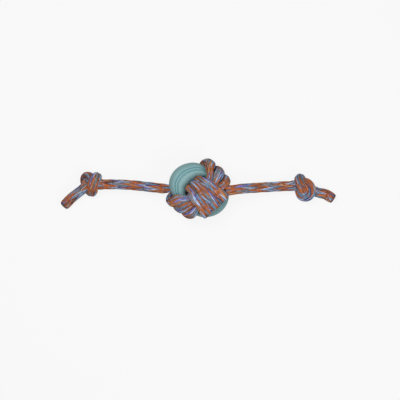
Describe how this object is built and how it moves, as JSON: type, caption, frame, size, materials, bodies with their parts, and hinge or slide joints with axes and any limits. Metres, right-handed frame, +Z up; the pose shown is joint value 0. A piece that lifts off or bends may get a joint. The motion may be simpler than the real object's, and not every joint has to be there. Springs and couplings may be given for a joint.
{
  "type": "rope dog toy",
  "caption": "Tug toy for a dog: a braided rope wound as a fist round a soft rubber ring, with a free arm, an overhand knot and a short sealed tail on each side.",
  "frame": {"origin": "middle of the toy's outline on the plane it lies on", "axes": "+X along the toy towards the right arm, +Y across it towards the top of the picture, +Z up from the plane it lies on"},
  "size_m": [0.3878, 0.0834, 0.073],
  "materials": {
    "ring_rubber": "satin soft rubber",
    "braided_rope": "braided rust, blue, grey and plum yarns",
    "sealed_tip": "melted dark yarn ends"
  },
  "bodies": {
    "fist": {"ring": "ring_rubber", "winding_round_ring": "braided_rope", "winding_through_ring": "braided_rope"},
    "left_arm": {"left_arm": "braided_rope"},
    "left_end": {"left_knot": "braided_rope"},
    "left_tail": {"left_tail": "braided_rope", "left_tail_seal": "sealed_tip"},
    "right_arm": {"right_arm": "braided_rope"},
    "right_end": {"right_knot": "braided_rope"},
    "right_tail": {"right_tail": "braided_rope", "right_tail_seal": "sealed_tip"}
  },
  "joints": [
    {"name": "left_arm_swing", "type": "hinge", "parent": "fist", "child": "left_arm", "pos_m": [-0.0482, 0.00075, 0.0271], "axis": [0, 0, 1], "range_deg": [-45, 45]},
    {"name": "left_knot_bend", "type": "hinge", "parent": "left_arm", "child": "left_end", "pos_m": [-0.1298, 0.00665, 0.0222], "axis": [0, 0, 1], "range_deg": [-40, 40]},
    {"name": "left_tail_swing", "type": "hinge", "parent": "left_end", "child": "left_tail", "pos_m": [-0.1697, -0.00565, 0.0152], "axis": [0, 0, 1], "range_deg": [-30, 30]},
    {"name": "right_arm_swing", "type": "hinge", "parent": "fist", "child": "right_arm", "pos_m": [0.0482, -0.00125, 0.0432], "axis": [0, 0, 1], "range_deg": [-45, 45]},
    {"name": "right_knot_bend", "type": "hinge", "parent": "right_arm", "child": "right_end", "pos_m": [0.1293, 0.0043, 0.0142], "axis": [0, 0, 1], "range_deg": [-40, 40]},
    {"name": "right_tail_swing", "type": "hinge", "parent": "right_end", "child": "right_tail", "pos_m": [0.1686, -0.00475, 0.012], "axis": [0, 0, 1], "range_deg": [-30, 30]}
  ]
}
